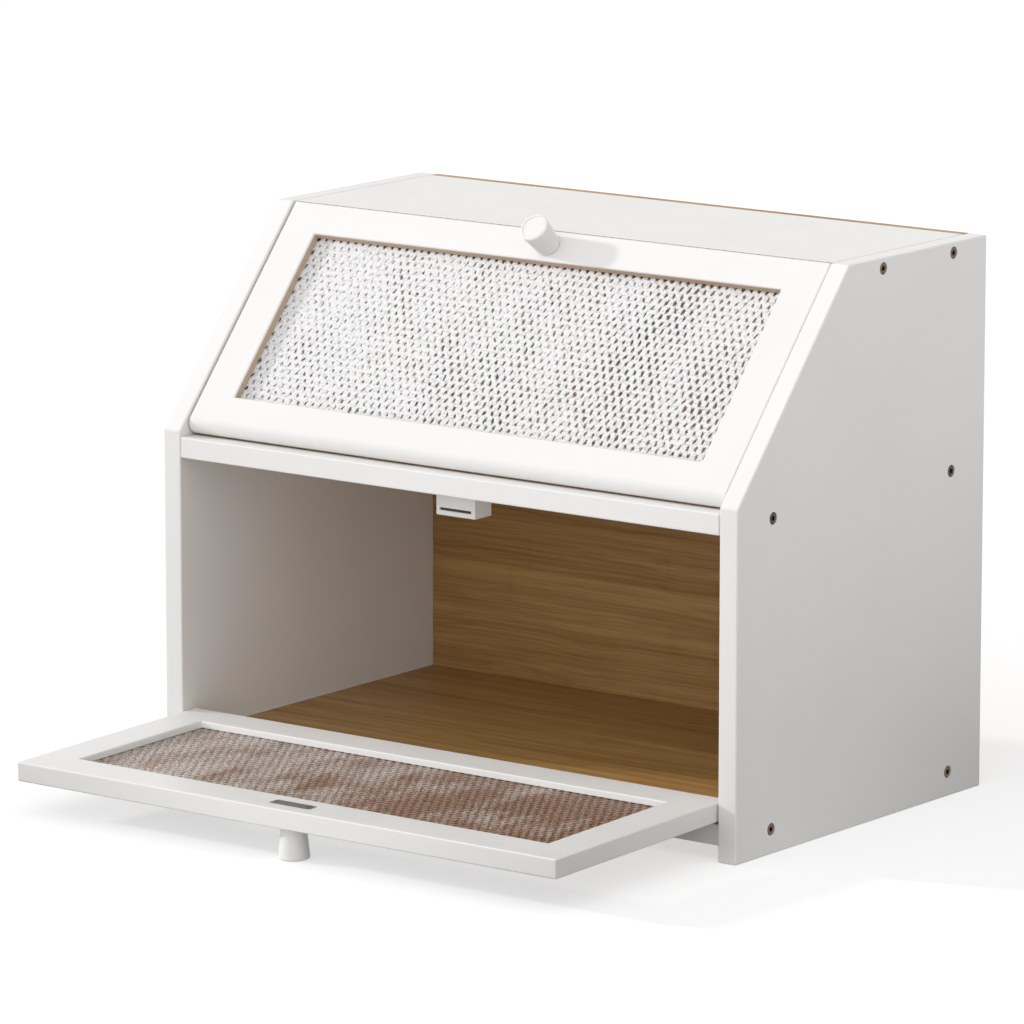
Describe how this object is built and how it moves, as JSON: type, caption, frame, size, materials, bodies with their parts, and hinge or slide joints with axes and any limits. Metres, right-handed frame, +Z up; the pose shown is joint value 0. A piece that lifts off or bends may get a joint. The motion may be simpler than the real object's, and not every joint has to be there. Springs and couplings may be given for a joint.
{
  "type": "bread box",
  "caption": "Tiered counter-top bread box with a sloped front, a shelf, and framed clear flip-down doors that turn on pivot pins and close on magnetic catches.",
  "frame": {"origin": "under the middle of the whole footprint with the lower door open, at the height the side panels stand on", "axes": "+X to the right seen from the front, +Y from the front to the back, +Z up"},
  "size_m": [0.4, 0.3824, 0.3258],
  "materials": {
    "paint": "white satin paint on board",
    "bamboo": "clear-lacquered bamboo with fine straight grain",
    "acrylic": "clear acrylic sheet with a small raised dot pattern",
    "plastic": "white moulded plastic",
    "magnet": "black ferrite magnet",
    "steel": "plated steel",
    "bronze": "bronze-coloured plated steel"
  },
  "bodies": {
    "cabinet": {"left_side_panel": "paint", "right_side_panel": "paint", "bottom_panel": "bamboo", "middle_shelf": "paint", "top_panel": "paint", "back_panel": "bamboo", "left_side_screw_1": "bronze", "left_side_screw_2": "bronze", "left_side_screw_3": "bronze", "left_side_screw_4": "bronze", "left_side_screw_5": "bronze", "left_side_screw_6": "bronze", "right_side_screw_1": "bronze", "right_side_screw_2": "bronze", "right_side_screw_3": "bronze", "right_side_screw_4": "bronze", "right_side_screw_5": "bronze", "right_side_screw_6": "bronze", "back_screw_1": "bronze", "back_screw_2": "bronze", "back_screw_3": "bronze", "back_screw_4": "bronze", "back_screw_5": "bronze", "back_screw_6": "bronze", "lower_catch_housing": "plastic", "lower_catch_magnet": "magnet", "lower_catch_screw_1": "steel", "lower_catch_screw_2": "steel", "upper_catch_housing": "plastic", "upper_catch_magnet": "magnet", "upper_catch_screw_1": "steel", "upper_catch_screw_2": "steel"},
    "lower_door": {"lower_door_bottom_rail": "paint", "lower_door_top_rail": "paint", "lower_door_left_stile": "paint", "lower_door_right_stile": "paint", "lower_door_window": "acrylic", "lower_door_knob": "paint", "lower_door_knob_screw": "steel", "lower_door_strike_plate": "steel", "lower_door_strike_screw_1": "steel", "lower_door_strike_screw_2": "steel", "lower_door_left_pin": "steel", "lower_door_right_pin": "steel"},
    "upper_door": {"upper_door_bottom_rail": "paint", "upper_door_top_rail": "paint", "upper_door_left_stile": "paint", "upper_door_right_stile": "paint", "upper_door_window": "acrylic", "upper_door_knob": "paint", "upper_door_knob_screw": "steel", "upper_door_strike_plate": "steel", "upper_door_strike_screw_1": "steel", "upper_door_strike_screw_2": "steel", "upper_door_left_pin": "steel", "upper_door_right_pin": "steel"}
  },
  "joints": [
    {"name": "lower_door_hinge", "type": "hinge", "parent": "cabinet", "child": "lower_door", "pos_m": [0, -0.04036, 0.0282], "axis": [-1, 0, 0], "range_deg": [0, 91.2]},
    {"name": "upper_door_hinge", "type": "hinge", "parent": "cabinet", "child": "upper_door", "pos_m": [0, -0.03416, 0.1994], "axis": [1, 0, 0], "range_deg": [0, 136]}
  ]
}
